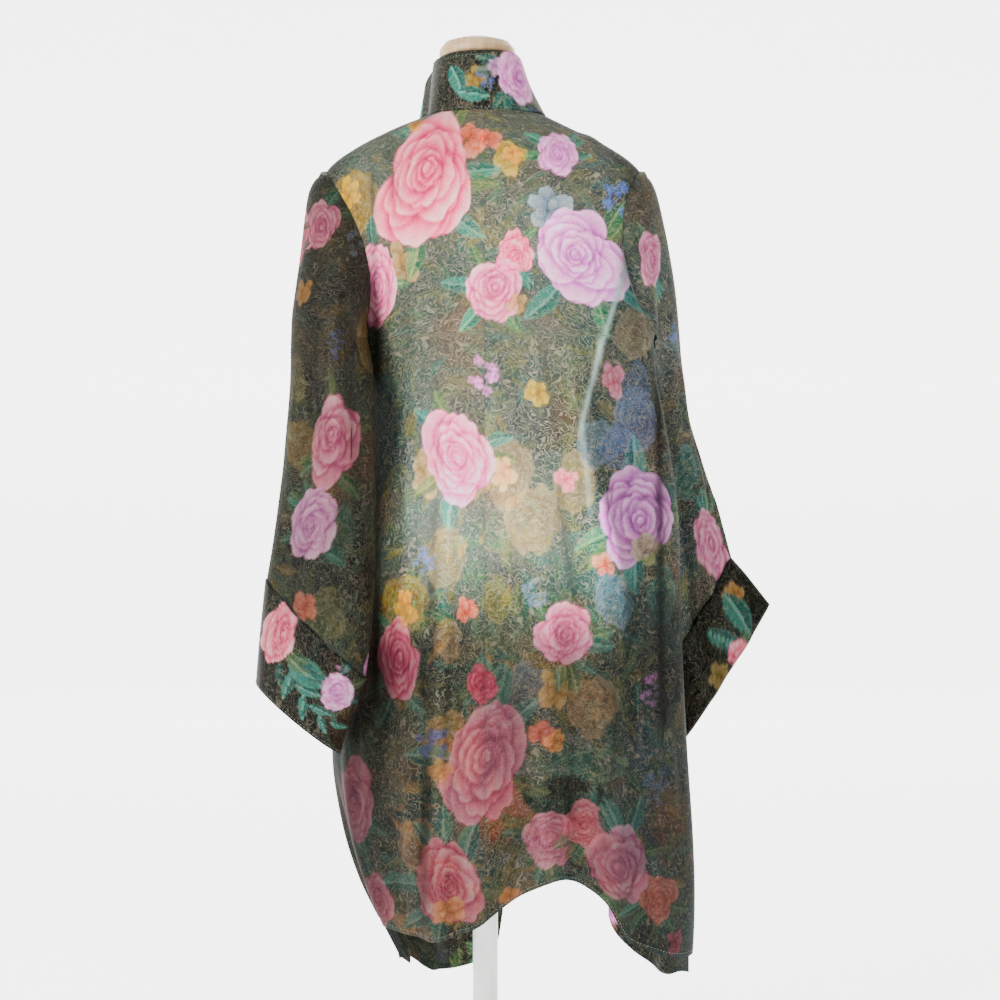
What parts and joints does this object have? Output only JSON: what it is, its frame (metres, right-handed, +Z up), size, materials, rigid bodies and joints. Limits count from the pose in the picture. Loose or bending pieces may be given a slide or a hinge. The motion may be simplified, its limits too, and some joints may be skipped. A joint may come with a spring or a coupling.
{
  "type": "sheer kimono on dress form",
  "caption": "Sheer floral kimono with satin neck band and cuffs, open down the front, worn by a limbless dress form on a short stand.",
  "frame": {"origin": "middle of the stand base's flat underside", "axes": "+Z up; +Y towards the wearer's back, the side the picture shows; +X towards the wearer's left"},
  "size_m": [0.5759, 0.3003, 1.143],
  "materials": {
    "sheer_print": "sheer matt crepe, floral print",
    "satin_print": "glossy satin, floral print",
    "form_cover": "matt pale jersey over foam",
    "pale_wood": "satin lacquer",
    "white_paint": "white powder coat"
  },
  "bodies": {
    "root": {"back_left": "sheer_print", "back_right": "sheer_print", "front_left": "sheer_print", "front_right": "sheer_print", "sleeve_left": "sheer_print", "sleeve_right": "sheer_print", "cuff_left": "satin_print", "cuff_right": "satin_print", "collar_band": "satin_print", "form_torso": "form_cover", "neck_cap": "pale_wood", "stand_pole": "white_paint", "stand_base": "white_paint"}
  },
  "joints": []
}
